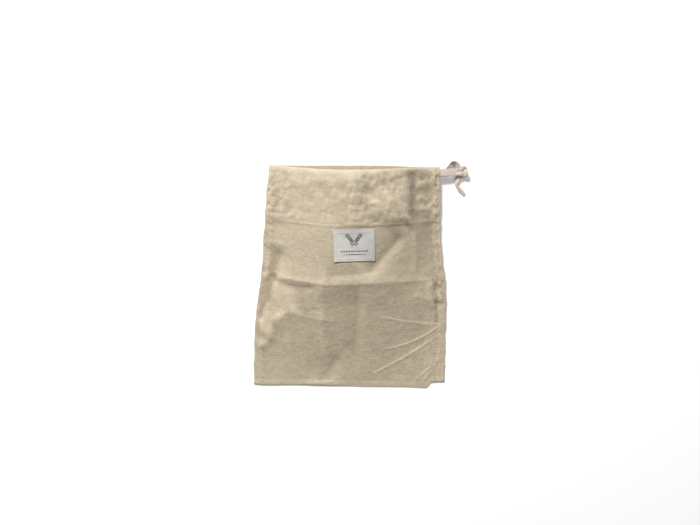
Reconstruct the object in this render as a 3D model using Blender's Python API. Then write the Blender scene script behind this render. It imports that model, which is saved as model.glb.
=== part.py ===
"""Linen bread bag with a drawstring, lying on its back in the shape that a loaf gives it.

The bag lies on the surface z = 0 with its mouth toward +Y, and it is hollow: two linen
panels, a woven label and one flat cotton tape that runs round both casings and is
knotted outside the right side seam. Sizes in the tables are millimetres.
"""
import bpy
import numpy as np
from collections import namedtuple

MM = 0.001

# Driving dimensions, in millimetres
BOTTOM_Y = -173.6           # lowest point of the bottom seam
LIP_Y = 171.0               # mouth edge beside the side seams
LIP_DIP = 14.0              # how far the raised front lip draws back from the mouth
LIP_SLANT = 3.0             # how far the mouth edge draws back at the right seam
CLOTH = 1.0                 # thickness of one layer of linen
GAP = 0.35                  # air between two layers that touch
HEM_DEPTH = 82.0            # depth of the turned top hem
HEM_GAP = 1.5               # middle of a hem layer to the middle of the next one
CASING_GAP = 3.0            # the same in the casing, where the tape runs
CASING_DEPTH = 33.0         # lip to the casing's stitch line
TAPE_WIDTH = 12.0
TAPE_THICK = 0.9
TAPE_BELOW_LIP = 10.0       # lip to the tape's middle line
LABEL_WIDTH, LABEL_HEIGHT = 61.0, 47.0
LABEL_AT = (6.2, 46.8)      # middle of the label
LABEL_TURN = 0.035          # radians, anticlockwise
LABEL_LIFT = 1.9            # middle of the front panel to the middle of the label

# Sections of the filled bag from the bottom seam to the mouth
Section = namedtuple("Section", "y left right seam_left seam_right crown crown_x")
SECTIONS = [
    Section(-173.0, -149.0, 146.5, 1.2, 1.2, 1.9, 5.0),
    Section(-140.0, -149.5, 148.0, 1.8, 1.8, 8.0, 5.0),
    Section(-95.0, -148.6, 148.4, 2.8, 2.8, 21.5, 5.0),
    Section(-53.0, -145.5, 149.6, 4.0, 4.0, 37.5, 5.0),
    Section(-12.0, -139.5, 148.3, 6.0, 6.0, 54.0, 3.0),
    Section(21.0, -136.0, 143.8, 8.0, 8.0, 60.0, 3.0),
    Section(78.0, -132.8, 139.2, 10.0, 10.0, 70.0, 5.0),
    Section(173.0, -125.0, 139.5, 12.0, 12.0, 75.0, 8.0),
]

# Folds of the front: a soft ridge (height above 0) or trough (below 0) along an arc from
# its start, through its middle, to its end. left and right are its widths on both sides
# of the direction of travel, soft rounds its top and tip is the share of its length in
# which it dies out.
Fold = namedtuple("Fold", "start middle end height left right soft tip")
FOLDS = {
    "packing_crease_left": Fold((-118, 0), (-82, -4), (-38, -12), 2.6, 14, 6, 0.4, 0.10),
    "packing_crease_right": Fold((-38, -12), (42, -9), (124, -4), 2.2, 14, 6, 0.4, 0.10),
    "shade_under_crease": Fold((-102, -14), (-80, -19), (-54, -17), -1.6, 6, 9, 0.6, 0.30),
    "packing_line_middle": Fold((4, 154), (4, 110), (4, 70), 2.0, 13, 26, 0.3, 0.12),
    "packing_line_left": Fold((-26, 76), (-34, 20), (-44, -20), 1.6, 14, 26, 0.3, 0.20),
    "packing_line_low": Fold((-44, -14), (-45, -60), (-38, -126), 2.4, 16, 26, 0.4, 0.25),
    "slack_under_lip": Fold((8, 158), (12, 140), (28, 120), 2.2, 22, 16, 0.8, 0.30),
    "casing_valley": Fold((26, 122), (52, 137), (90, 154), -2.4, 16, 17, 0.8, 0.15),
    "loaf_edge_ridge": Fold((88, 164), (87, 120), (86, 76), 2.4, 12, 26, 0.8, 0.10),
    "loaf_edge_valley": Fold((98, 160), (99, 120), (101, 84), -1.0, 14, 12, 0.8, 0.20),
    "hollow_beside_label": Fold((32, 6), (62, 39), (94, 78), -5.5, 21, 14, 0.7, 0.16),
    "hollow_under_label": Fold((-36, 2), (4, 4), (40, 10), -2.4, 13, 8, 0.6, 0.20),
    "left_ledge": Fold((-127, 43), (-129, 25), (-132, 8), 2.5, 9, 6, 0.5, 0.15),
    "left_hollow": Fold((-108, 43), (-111, 25), (-117, 6), -6.5, 10, 13, 0.5, 0.15),
    "left_groove": Fold((-118, 0), (-128, -22), (-141, -62), -5.0, 8, 9, 0.5, 0.20),
    "bend_upper": Fold((-80, -51), (-98, -53), (-113, -61), 7.0, 15, 18, 0.5, 0.30),
    "bend_middle": Fold((-110, -58), (-121, -69), (-126, -88), 6.0, 12, 15, 0.5, 0.30),
    "bend_lower": Fold((-126, -86), (-129, -98), (-142, -109), 4.0, 8, 9, 0.5, 0.25),
    "lower_valley": Fold((-25, -128), (-33, -143), (-42, -158), -2.5, 12, 8, 0.5, 0.30),
    "seam_fan_1": Fold((52, -62), (90, -69), (137, -74), 1.4, 5, 5, 0.4, 0.10),
    "seam_fan_2": Fold((137, -78), (114, -93), (56, -112), 1.6, 5, 5, 0.4, 0.10),
    "seam_fan_3": Fold((128, -98), (92, -121), (38, -150), 1.6, 5, 5, 0.4, 0.10),
    "right_ridge": Fold((124, -8), (128, -20), (129, -42), 2.6, 6, 12, 0.5, 0.25),
    "right_valley": Fold((131, -18), (133, -42), (134, -74), -2.4, 6, 6, 0.5, 0.15),
}

# Colours, linear
LINEN_COLOUR = (0.53, 0.45, 0.34)
LABEL_COLOUR = (0.66, 0.64, 0.58)
TAPE_COLOUR = (0.68, 0.58, 0.50)

# Grid of each panel, with closer rows at these places
CREASE_Y, HEM_LINE_Y, CASING_LINE_Y = -12.0, 80.0, 143.0
FRONT_COLUMNS, FRONT_ROWS = 27, 36
BACK_COLUMNS, BACK_ROWS = 27, 17
TURN_ROWS = 3               # rows round the folded lip
OPEN_COLUMNS = 2            # columns at the left seam where the casings join

# The knot and the free stretches of the tape, in millimetres
KNOT_AT = (174.2, 161.2, 7.0)
KNOT_RADII = (10.6, 8.8, 6.6)
KNOT_UNDERSIDE = 0.4        # height of its flat underside
KNOT_RINGS, KNOT_SEGMENTS = 12, 20
Station = namedtuple("Station", "point turn")   # turn: degrees from flat
FRONT_STRAND = [
    Station((141.5, 160.4, 14.2), 0),
    Station((146.5, 160.4, 14.2), 0),
    Station((151.5, 160.4, 13.4), 0),
    Station((156.5, 160.6, 12.0), 0),
    Station((162.6, 160.8, 10.6), 0),
]
BACK_STRAND = [
    Station((142.0, 160.4, 9.7), 4),
    Station((146.0, 161.2, 8.7), 26),
    Station((149.2, 164.0, 7.4), 58),
    Station((151.4, 168.4, 6.8), 80),
    Station((153.8, 173.0, 6.6), 86),
    Station((157.0, 175.8, 6.5), 80),
    Station((160.6, 176.2, 6.4), 66),
    Station((163.8, 174.4, 6.4), 54),
    Station((166.4, 172.0, 6.4), 48),
]
TAIL_WIDTH, TAIL_THICK = 6.0, 1.8
TAIL = [
    Station((168.2, 152.4, 4.6), 10),
    Station((166.2, 148.4, 4.2), 35),
    Station((165.2, 144.4, 4.0), 65),
    Station((166.2, 140.8, 3.8), 100),
    Station((168.8, 137.6, 3.6), 140),
    Station((171.6, 134.6, 3.0), 165),
    Station((174.2, 131.6, 2.4), 180),
    Station((176.6, 128.8, 1.9), 180),
    Station((178.8, 126.2, 1.6), 180),
]


def clear_scene():
    for item in list(bpy.data.objects):
        bpy.data.objects.remove(item, do_unlink=True)


def ease(t):
    """Smooth step from 0 to 1."""
    t = np.clip(t, 0.0, 1.0)
    return t * t * (3.0 - 2.0 * t)


def along_sections(name, y):
    """A column of SECTIONS read at y by a monotone cubic."""
    at = np.array([row.y for row in SECTIONS])
    value = np.array([getattr(row, name) for row in SECTIONS])
    step = np.diff(at)
    slope = np.diff(value) / step
    product = slope[:-1] * slope[1:]
    total = np.where(product > 0.0, slope[:-1] + slope[1:], 1.0)
    inner = np.where(product > 0.0, 2.0 * product / total, 0.0)
    tangent = np.concatenate([slope[:1], inner, slope[-1:]])
    i = np.clip(np.searchsorted(at, y) - 1, 0, len(at) - 2)
    t = np.clip((y - at[i]) / step[i], 0.0, 1.0)
    start = (2 * t**3 - 3 * t**2 + 1) * value[i] + (t**3 - 2 * t**2 + t) * step[i] * tangent[i]
    end = (3 * t**2 - 2 * t**3) * value[i + 1] + (t**3 - t**2) * step[i] * tangent[i + 1]
    return start + end


def layer_gap(y):
    """Spacing of the two hem layers: wide in the casing, close below its stitch line."""
    return HEM_GAP + (CASING_GAP - HEM_GAP) * ease((y - (LIP_Y - CASING_DEPTH - 6.0)) / 8.0)


def half_stack(y):
    """Half of the layers at a side seam, from its middle to the outer layer's middle."""
    in_hem = ease((y - (LIP_Y - LIP_DIP - HEM_DEPTH - 4.0)) / 9.0)
    return (CLOTH + GAP) / 2.0 + in_hem * layer_gap(y)


def fold_height(fold, x, y):
    """Height that one fold adds at x, y."""
    (x0, y0), (xm, ym), (x1, y1) = fold.start, fold.middle, fold.end
    dx, dy = x1 - x0, y1 - y0
    length = np.hypot(dx, dy)
    middle_u = ((xm - x0) * dx + (ym - y0) * dy) / length**2
    middle_d = ((ym - y0) * dx - (xm - x0) * dy) / length
    u = ((x - x0) * dx + (y - y0) * dy) / length**2
    d = ((y - y0) * dx - (x - x0) * dy) / length
    inside = np.clip(u, 0.0, 1.0)
    d = d - middle_d * inside * (1.0 - inside) / (middle_u * (1.0 - middle_u))
    r = np.abs(d) / np.where(d > 0.0, fold.left, fold.right)
    fade = ease((u + fold.tip) / (2.0 * fold.tip)) * ease((1.0 + fold.tip - u) / (2.0 * fold.tip))
    return fold.height * fade * np.exp(fold.soft - np.sqrt(r * r + fold.soft**2))


def across(x, y):
    """Place across a section: 0 at the crown, 1 at a side seam, and that seam's height."""
    left, right = along_sections("left", y), along_sections("right", y)
    crown_x = along_sections("crown_x", y)
    on_left = x < crown_x
    q = np.where(on_left, (crown_x - x) / (crown_x - left), (x - crown_x) / (right - crown_x))
    seam = np.where(on_left, along_sections("seam_left", y), along_sections("seam_right", y))
    return np.clip(q, 0.0, 1.0), seam


def back_height(x, y):
    """Middle of the back layer: flat on the surface, curving up to the side seams."""
    q, seam = across(x, y)
    rest = CLOTH / 2.0
    edge = np.maximum(seam - half_stack(y), rest)
    return rest + (edge - rest) * ease((q - 0.70) / 0.30)


def front_height(x, y):
    """Middle of the front layer: a dome between the seams, fuller toward the mouth."""
    q, seam = across(x, y)
    full = np.clip((y + 150.0) / 180.0, 0.0, 1.0)
    on_right = ease((x + 10.0) / 60.0) * ease((y + 10.0) / 90.0)
    boxy = full * (0.15 + 0.85 * on_right)
    dome = (1.0 - q ** (2.0 + 2.2 * boxy)) ** (1.5 + 1.9 * boxy)
    edge = np.maximum(seam + half_stack(y), CLOTH * 1.5 + GAP)
    height = edge + (along_sections("crown", y) - edge) * dome
    reach = 0.3 + 0.7 * ease((1.0 - q) * 12.0)
    height = height + reach * sum(fold_height(fold, x, y) for fold in FOLDS.values())
    lowest = back_height(x, y) + CLOTH + GAP
    return lowest + np.logaddexp(0.0, (height - lowest) * 2.0) / 2.0


def surface_frame(height, x, y):
    """Points of a layer and their unit normals, pointing up."""
    step = 1.0
    slope_x = (height(x + step, y) - height(x - step, y)) / (2.0 * step)
    slope_y = (height(x, y + step) - height(x, y - step)) / (2.0 * step)
    normal = np.stack([-slope_x, -slope_y, np.ones_like(slope_x)], axis=-1)
    normal /= np.linalg.norm(normal, axis=-1, keepdims=True)
    return np.stack([x, y, height(x, y)], axis=-1), normal


def bottom_edge(u):
    """Bottom seam: it slants a little and steps back at the right corner."""
    slanted = BOTTOM_Y + 4.5 * (1.0 - u)
    return slanted + 8.5 * ease((u - 0.895) / 0.035)


def front_lip(u):
    """Mouth edge of the front: the higher it stands, the further it draws back."""
    q = np.abs(2.0 * u - 1.0)
    return back_lip(u) - LIP_DIP * (1.0 - q**2.4) ** 1.6


def back_lip(u):
    """Mouth edge of the back, drawn back a little at the right seam."""
    return LIP_Y - LIP_SLANT * ease((u - 0.6) / 0.4)


def spread(count, dense):
    """Numbers from 0 to 1, closer together near each dense place (place, reach, gain)."""
    fine = np.linspace(0.0, 1.0, 2001)
    weight = np.ones_like(fine)
    for place, reach, gain in dense:
        weight += gain * np.exp(-(((fine - place) / reach) ** 2))
    total = np.concatenate([[0.0], np.cumsum((weight[1:] + weight[:-1]) / 2.0)])
    return np.interp(np.linspace(0.0, total[-1], count), total, fine)


def row_place(y):
    """Share of the way up a panel at which y lies."""
    return (y - BOTTOM_Y) / (LIP_Y - BOTTOM_Y)


def panel_points(height, lip, inward, columns, rows, dense):
    """Middle surface of a panel: up its outside, round the lip and down inside the hem.

    inward is -1 where the inside lies below the layer (front) and +1 where it is above.
    """
    u = np.linspace(0.0, 1.0, columns)
    v = spread(rows, dense)
    y = bottom_edge(u) + (lip(u) - bottom_edge(u)) * v[:, None]
    left, right = along_sections("left", y), along_sections("right", y)
    outer, normal = surface_frame(height, left + (right - left) * u, y)
    normal = normal * inward
    gap = layer_gap(y)[..., None]

    toward = outer[-1] - outer[-2]
    toward /= np.linalg.norm(toward, axis=-1, keepdims=True)
    radius = gap[-1] / 2.0
    centre = outer[-1] + normal[-1] * radius
    angles = np.pi * np.arange(1, TURN_ROWS + 1) / (TURN_ROWS + 1)
    turn = [centre - normal[-1] * radius * np.cos(a) + toward * radius * np.sin(a) for a in angles]

    inside = [row for row in range(rows - 1, 0, -1) if y[row, 0] > LIP_Y - HEM_DEPTH]
    inner = outer[inside] + normal[inside] * gap[inside]
    return outer, np.concatenate([np.array(turn), inner])


def sheet_object(name, outer, inner, thickness, colour):
    """A sheet from its grid of middle points, thickened to both sides."""
    rows, columns = outer.shape[:2]
    grid = np.concatenate([outer, inner]) if inner is not None else outer
    index = np.arange(grid.shape[0] * columns).reshape(-1, columns)
    quads = np.stack([index[:-1, :-1], index[:-1, 1:], index[1:, 1:], index[1:, :-1]], axis=-1)
    keep = np.ones(quads.shape[:2], dtype=bool)
    if inner is not None:
        keep[rows - 1:, :OPEN_COLUMNS] = False
    faces = quads[keep]
    used = np.unique(faces)
    faces = np.searchsorted(used, faces)
    mesh = bpy.data.meshes.new(name)
    mesh.from_pydata((grid.reshape(-1, 3)[used] * MM).tolist(), [], faces.tolist())
    mesh.validate()
    item = bpy.data.objects.new(name, mesh)
    bpy.context.collection.objects.link(item)
    solid = item.modifiers.new("Thickness", "SOLIDIFY")
    solid.thickness = thickness * MM
    solid.offset = 0.0
    solid.use_even_offset = True
    mesh.shade_smooth()
    mesh.materials.append(cloth_material(name, colour))
    return item


def cloth_material(name, colour):
    material = bpy.data.materials.new(name)
    material.use_nodes = True
    shader = material.node_tree.nodes["Principled BSDF"]
    shader.inputs["Base Color"].default_value = (*colour, 1.0)
    shader.inputs["Roughness"].default_value = 0.9
    shader.inputs["Metallic"].default_value = 0.0
    return material


def label_points():
    """The label lies on the front just under the hem, turned a little."""
    s = np.linspace(-0.5, 0.5, 8)[None, :] * LABEL_WIDTH
    t = np.linspace(-0.5, 0.5, 7)[:, None] * LABEL_HEIGHT
    x = LABEL_AT[0] + s * np.cos(LABEL_TURN) - t * np.sin(LABEL_TURN)
    y = LABEL_AT[1] + s * np.sin(LABEL_TURN) + t * np.cos(LABEL_TURN)
    points, normal = surface_frame(front_height, x, y)
    return points + normal * LABEL_LIFT


def ribbon_rows(stations, width):
    """Free tape: two points across at each station, turned about the route.

    A smooth curve through the stations is read at three places in each span.
    """
    route = np.array([station.point for station in stations])
    turns = np.radians([station.turn for station in stations])
    at = np.arange(len(route), dtype=float)
    fine = np.linspace(0.0, at[-1], 3 * (len(route) - 1) + 1)
    middle = smooth_curve(route, fine)
    turn = np.interp(fine, at, turns)
    way = np.gradient(middle, axis=0)
    way /= np.linalg.norm(way, axis=1, keepdims=True)
    side = np.cross([0.0, 0.0, 1.0], way)
    side /= np.linalg.norm(side, axis=1, keepdims=True)
    up = np.cross(way, side)
    across_way = side * np.cos(turn)[:, None] + up * np.sin(turn)[:, None]
    offsets = np.array([-0.5, 0.5]) * width
    return middle[:, None] + across_way[:, None] * offsets[:, None]


def smooth_curve(points, at):
    """Catmull-Rom curve through points, read at the parameters at."""
    padded = np.concatenate([2 * points[:1] - points[1:2], points, 2 * points[-1:] - points[-2:-1]])
    i = np.clip(np.floor(at).astype(int), 0, len(points) - 2)
    t = (at - i)[:, None]
    p0, p1, p2, p3 = padded[i], padded[i + 1], padded[i + 2], padded[i + 3]
    return 0.5 * (2 * p1 + (p2 - p0) * t + (2 * p0 - 5 * p1 + 4 * p2 - p3) * t**2
                  + (3 * p1 - p0 - 3 * p2 + p3) * t**3)


def casing_rows(height, lip, inward):
    """Tape inside a casing, from the left seam to the right, between its two layers."""
    u = np.linspace(0.0, 1.0, FRONT_COLUMNS)[1:]
    y = (lip(u) - TAPE_BELOW_LIP) + np.array([-0.5, 0.5])[:, None] * TAPE_WIDTH
    left, right = along_sections("left", y), along_sections("right", y)
    outer, normal = surface_frame(height, left + (right - left) * u, y)
    points = outer + normal * inward * (layer_gap(y) / 2.0)[..., None]
    return points.transpose(1, 0, 2)


def drawstring_points():
    """Knot, front strand, front casing, round the left seam, back casing, back strand, knot."""
    front = casing_rows(front_height, front_lip, -1.0)
    back = casing_rows(back_height, back_lip, 1.0)
    top, bottom = front[0], back[0]
    centre = (top + bottom) / 2.0
    radius = (top - bottom) / 2.0
    reach = np.array([-1.0, 0.0, 0.0]) * 2.2
    angles = np.pi * np.arange(1, 4) / 4.0
    bend = np.array([centre + radius * np.cos(a) + reach * np.sin(a) for a in angles])
    front_strand = ribbon_rows(FRONT_STRAND, TAPE_WIDTH)
    back_strand = ribbon_rows(BACK_STRAND, TAPE_WIDTH)
    return np.concatenate([front_strand[::-1], front[::-1], bend, back, back_strand])


def knot_object():
    """The knot: a flattened ball with three wraps of tape round it, flat underneath."""
    mesh = bpy.data.meshes.new("knot")
    polar = np.pi * np.arange(1, KNOT_RINGS) / KNOT_RINGS
    turn = 2.0 * np.pi * np.arange(KNOT_SEGMENTS) / KNOT_SEGMENTS
    p, a = np.meshgrid(polar, turn, indexing="ij")
    wraps = 1.0 + 0.07 * np.cos(3.0 * p + 2.0 * np.sin(a)) + 0.05 * np.cos(2.0 * a + 2.2 * p)
    ball = np.stack([np.sin(p) * np.cos(a), np.sin(p) * np.sin(a), np.cos(p)], axis=-1)
    ball = ball * wraps[..., None] * KNOT_RADII
    points = np.concatenate([ball.reshape(-1, 3), [[0, 0, KNOT_RADII[2]], [0, 0, -KNOT_RADII[2]]]])
    points = points + KNOT_AT
    points[:, 2] = np.maximum(points[:, 2], KNOT_UNDERSIDE)
    ring = np.arange((KNOT_RINGS - 1) * KNOT_SEGMENTS).reshape(KNOT_RINGS - 1, KNOT_SEGMENTS)
    after = np.roll(ring, -1, axis=1)
    quads = np.stack([ring[:-1], ring[1:], after[1:], after[:-1]], axis=-1).reshape(-1, 4)
    top, bottom = len(points) - 2, len(points) - 1
    caps = [(top, a, b) for a, b in zip(ring[0].tolist(), after[0].tolist())]
    caps += [(bottom, b, a) for a, b in zip(ring[-1].tolist(), after[-1].tolist())]
    mesh.from_pydata((points * MM).tolist(), [], quads.tolist() + caps)
    mesh.shade_smooth()
    item = bpy.data.objects.new("knot", mesh)
    bpy.context.collection.objects.link(item)
    mesh.materials.append(cloth_material("knot", TAPE_COLOUR))
    return item


clear_scene()

crease = (row_place(CREASE_Y), 0.07, 1.2)
hem_line = (row_place(HEM_LINE_Y), 0.03, 0.8)
casing = (row_place(CASING_LINE_Y), 0.03, 3.0)
front_outer, front_inner = panel_points(front_height, front_lip, -1.0,
                                        FRONT_COLUMNS, FRONT_ROWS, [crease, hem_line])
sheet_object("front_panel", front_outer, front_inner, CLOTH, LINEN_COLOUR)

back_outer, back_inner = panel_points(back_height, back_lip, 1.0,
                                      BACK_COLUMNS, BACK_ROWS, [hem_line, casing])
sheet_object("back_panel", back_outer, back_inner, CLOTH, LINEN_COLOUR)

sheet_object("label", label_points(), None, CLOTH, LABEL_COLOUR)
sheet_object("drawstring", drawstring_points(), None, TAPE_THICK, TAPE_COLOUR)
knot_object()
sheet_object("tape_tail", ribbon_rows(TAIL, TAIL_WIDTH), None, TAIL_THICK, TAPE_COLOUR)
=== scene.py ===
"""Linen bread bag: its cloth, label, stitching and tape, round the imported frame.

The bag lies on its back with its mouth toward +Y, hollow, in the shape that a loaf
gives it. Shapes are worked out in millimetres and put into the meshes in metres.
"""
from collections import namedtuple

import bpy
import numpy as np
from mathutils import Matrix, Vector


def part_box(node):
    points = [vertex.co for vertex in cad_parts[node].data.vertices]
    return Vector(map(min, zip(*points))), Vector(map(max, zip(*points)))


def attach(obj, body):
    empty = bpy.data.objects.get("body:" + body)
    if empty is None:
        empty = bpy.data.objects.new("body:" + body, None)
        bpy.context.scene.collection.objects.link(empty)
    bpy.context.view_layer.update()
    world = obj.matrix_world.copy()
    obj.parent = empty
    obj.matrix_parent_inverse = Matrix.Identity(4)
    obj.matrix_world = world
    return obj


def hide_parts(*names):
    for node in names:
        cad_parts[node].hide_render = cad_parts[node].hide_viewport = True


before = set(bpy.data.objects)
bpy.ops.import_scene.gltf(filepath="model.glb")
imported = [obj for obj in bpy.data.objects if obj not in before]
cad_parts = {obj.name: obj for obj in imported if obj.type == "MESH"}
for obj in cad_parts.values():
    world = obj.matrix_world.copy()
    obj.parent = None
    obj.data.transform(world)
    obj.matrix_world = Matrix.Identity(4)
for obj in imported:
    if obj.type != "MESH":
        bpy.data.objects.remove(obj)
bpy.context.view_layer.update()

MM = 0.001

# -------------------------------------- driving dimensions, mm
BOTTOM_Y = -173.4           # lowest point of the bottom seam
LIP_Y = 171.0               # mouth edge beside the side seams
LIP_DIP = 14.0              # how far the raised front lip draws back
LIP_SLANT = 3.0             # how far the mouth edge draws back at the right seam
CLOTH = 0.8                 # one layer of washed linen, with its nap
GAP = 0.35                  # air between layers that touch
HEM_DEPTH = 82.0            # depth of the turned top hem
HEM_GAP = 1.5               # middle of a hem layer to the middle of the next
CASING_GAP = 3.0            # the same in the casing, round the tape
HEM_STITCH = 3.0            # the hem's stitch line over the bottom of the hem
CASING_DEPTH = 33.0         # lip to the casing's stitch line
ALLOWANCE = 12.0            # width of the seam allowances inside the side seams
ALLOWANCE_RISE = 0.7        # how far they raise the cloth over them
EDGE_ROLL = 3.2             # width in which a seam's edge rounds off
FLAT_WIDTH = 300.0          # cut width of a panel between its seams
FLAT_LENGTH = 350.0         # lip to bottom seam along the cloth

TAPE_WIDTH = 12.0
TAPE_THICK = 0.75
TAPE_BELOW_LIP = 10.0
KNOT_SCALE = (2.35, 1.7, 2.6)
KNOT_LOWEST, TAIL_LOWEST = 0.4, 0.3     # undersides over the surface
LABEL_WIDTH, LABEL_HEIGHT = 61.0, 47.0
LABEL_AT = (6.2, 46.8)
LABEL_TURN = 0.035          # radians, anticlockwise
LABEL_THICK = 0.45
LABEL_STITCH = 2.3          # its stitch line in from its rim

# Sections of the filled bag, from the bottom seam to the mouth
Section = namedtuple("Section", "y left right seam_left seam_right crown crown_x")
SECTIONS = [
    Section(-173.0, -149.0, 146.5, 1.2, 1.2, 1.9, 5.0),
    Section(-140.0, -149.5, 148.0, 1.8, 1.8, 8.0, 5.0),
    Section(-95.0, -148.6, 148.4, 2.8, 2.8, 21.5, 5.0),
    Section(-53.0, -145.5, 149.6, 4.0, 4.0, 37.5, 5.0),
    Section(-12.0, -139.5, 148.3, 6.0, 6.0, 54.0, 3.0),
    Section(21.0, -136.0, 143.8, 8.0, 8.0, 60.0, 3.0),
    Section(78.0, -132.8, 139.2, 10.0, 10.0, 70.0, 5.0),
    Section(173.0, -125.0, 139.5, 12.0, 12.0, 75.0, 8.0),
]

# Folds of the front. A fold is a soft ridge (height above 0) or trough (below 0)
# along an arc from its start, through its middle, to its end. left and right are its
# widths on both sides of the direction of travel, soft rounds its top, and tip is the
# share of its length in which it dies out.
Fold = namedtuple("Fold", "start middle end height left right soft tip")
BROAD_FOLDS = [
    # the packing crease where the loaf ends, and the shade under it
    Fold((-114, -1), (-82, -5), (-38, -12), 3.2, 13, 3.5, 0.3, 0.12),
    Fold((-38, -12), (42, -9), (124, -4), 2.2, 14, 3.5, 0.3, 0.08),
    Fold((-104, -10), (-82, -15), (-58, -16), -2.4, 3, 8, 0.4, 0.25),
    # packing lines from the mouth to the bottom
    Fold((4, 156), (5, 112), (4, 66), 4.4, 16, 34, 0.25, 0.16),
    Fold((-26, 76), (-34, 20), (-44, -20), 1.8, 14, 26, 0.2, 0.20),
    Fold((-44, -14), (-45, -40), (-44, -66), 3.6, 16, 26, 0.2, 0.25),
    Fold((-44, -60), (-44, -92), (-36, -128), 3.4, 16, 28, 0.25, 0.25),
    # slack under the casing and the loaf's right edge
    Fold((8, 160), (14, 140), (28, 122), 2.6, 22, 14, 0.5, 0.30),
    Fold((18, 124), (50, 138), (92, 154), -5.0, 15, 10, 0.35, 0.15),
    Fold((84, 165), (84, 122), (86, 84), 5.0, 8, 24, 0.2, 0.08),
    Fold((96, 160), (96, 122), (97, 84), -5.0, 12, 7, 0.35, 0.12),
    Fold((32, 100), (60, 99), (86, 97), 4.2, 28, 9, 0.3, 0.20),
    Fold((100, 97), (116, 97), (140, 99), 4.5, 34, 9, 0.3, 0.25),
    Fold((82, 86), (88, 82), (94, 78), 2.4, 5, 6, 0.4, 0.35),
    Fold((97, 66), (99, 38), (98, 6), 1.8, 4, 12, 0.3, 0.20),
    # hollow beside the label
    Fold((30, 10), (55, 38), (78, 64), -7.0, 22, 9, 0.3, 0.16),
    Fold((-36, 4), (4, 5), (40, 11), -3.4, 14, 6, 0.4, 0.20),
    # ledge, hollow, knob and groove along the left seam
    Fold((-127, 38), (-129, 24), (-132, 8), 2.5, 7, 4, 0.4, 0.30),
    Fold((-108, 42), (-114, 27), (-121, 2), -6.5, 10, 15, 0.45, 0.25),
    Fold((-135, 0), (-130, 2), (-124, 3), 2.0, 5, 4, 0.5, 0.40),
    Fold((-116, 2), (-126, -12), (-134, -34), -8.0, 7, 8, 0.3, 0.16),
    Fold((-134, -32), (-137, -46), (-141, -64), -5.5, 5, 8, 0.4, 0.20),
    # the bend of the slack cloth at the lower left
    Fold((-78, -52), (-97, -53), (-113, -62), 7.0, 14, 30, 0.4, 0.35),
    Fold((-110, -58), (-121, -70), (-126, -89), 6.5, 12, 24, 0.4, 0.35),
    Fold((-125, -84), (-130, -99), (-143, -109), 4.5, 8, 12, 0.4, 0.30),
    # the slack lower half
    Fold((8, -18), (7, -76), (2, -130), -4.0, 10, 36, 0.4, 0.20),
    Fold((-20, -122), (-31, -142), (-44, -160), -3.0, 10, 9, 0.5, 0.30),
    Fold((-66, -166), (-44, -165), (-20, -162), 1.4, 6, 6, 0.4, 0.30),
    Fold((104, -62), (113, -110), (110, -158), -1.8, 10, 16, 0.5, 0.30),
    # the right end of the crease and the valley beside the seam
    Fold((124, -8), (128, -20), (129, -42), 3.5, 3.5, 12, 0.3, 0.25),
    Fold((130, -13), (129, -27), (132, -43), -2.8, 4, 4, 0.5, 0.20),
    Fold((132, -44), (134, -58), (135, -74), -1.3, 4, 3, 0.5, 0.25),
    Fold((135, -23), (139, -31), (142, -39), 1.3, 5, 5, 0.5, 0.30),
    Fold((98, -30), (112, -32), (127, -36), 1.4, 12, 4, 0.4, 0.25),
    Fold((133, -42), (139, -43), (147, -42), -2.5, 3, 3, 0.5, 0.20),
    Fold((132, -14), (138, -17), (146, -16), -1.8, 2.5, 2.5, 0.5, 0.20),
]
FAN_CREASES = [
    # sharp creases that run out from the right seam
    Fold((52, -62), (90, -69), (137, -74), 0.75, 0.9, 1.7, 0.15, 0.10),
    Fold((137, -78), (114, -93), (56, -112), 0.8, 0.9, 1.8, 0.15, 0.08),
    Fold((128, -98), (92, -121), (38, -150), 0.8, 0.9, 1.8, 0.15, 0.10),
    Fold((139, -116), (136, -127), (131, -140), 0.5, 0.9, 1.6, 0.15, 0.15),
    Fold((127, -141), (115, -150), (103, -160), 0.55, 0.9, 1.6, 0.15, 0.12),
    Fold((127, -147), (118, -157), (110, -167), 0.5, 0.9, 1.6, 0.15, 0.12),
]
FAINT_LINES = [
    # across the slope under the loaf
    Fold((-72, -46), (-50, -46), (-26, -42), 0.4, 2.0, 2.0, 0.4, 0.20),
    Fold((-86, -56), (-60, -63), (-26, -68), 0.8, 3.0, 2.0, 0.3, 0.20),
    # where the hem's raw edge is turned
    Fold((-130, 101), (0, 97), (139, 100), -0.4, 2.5, 2.5, 0.4, 0.03),
]
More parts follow.
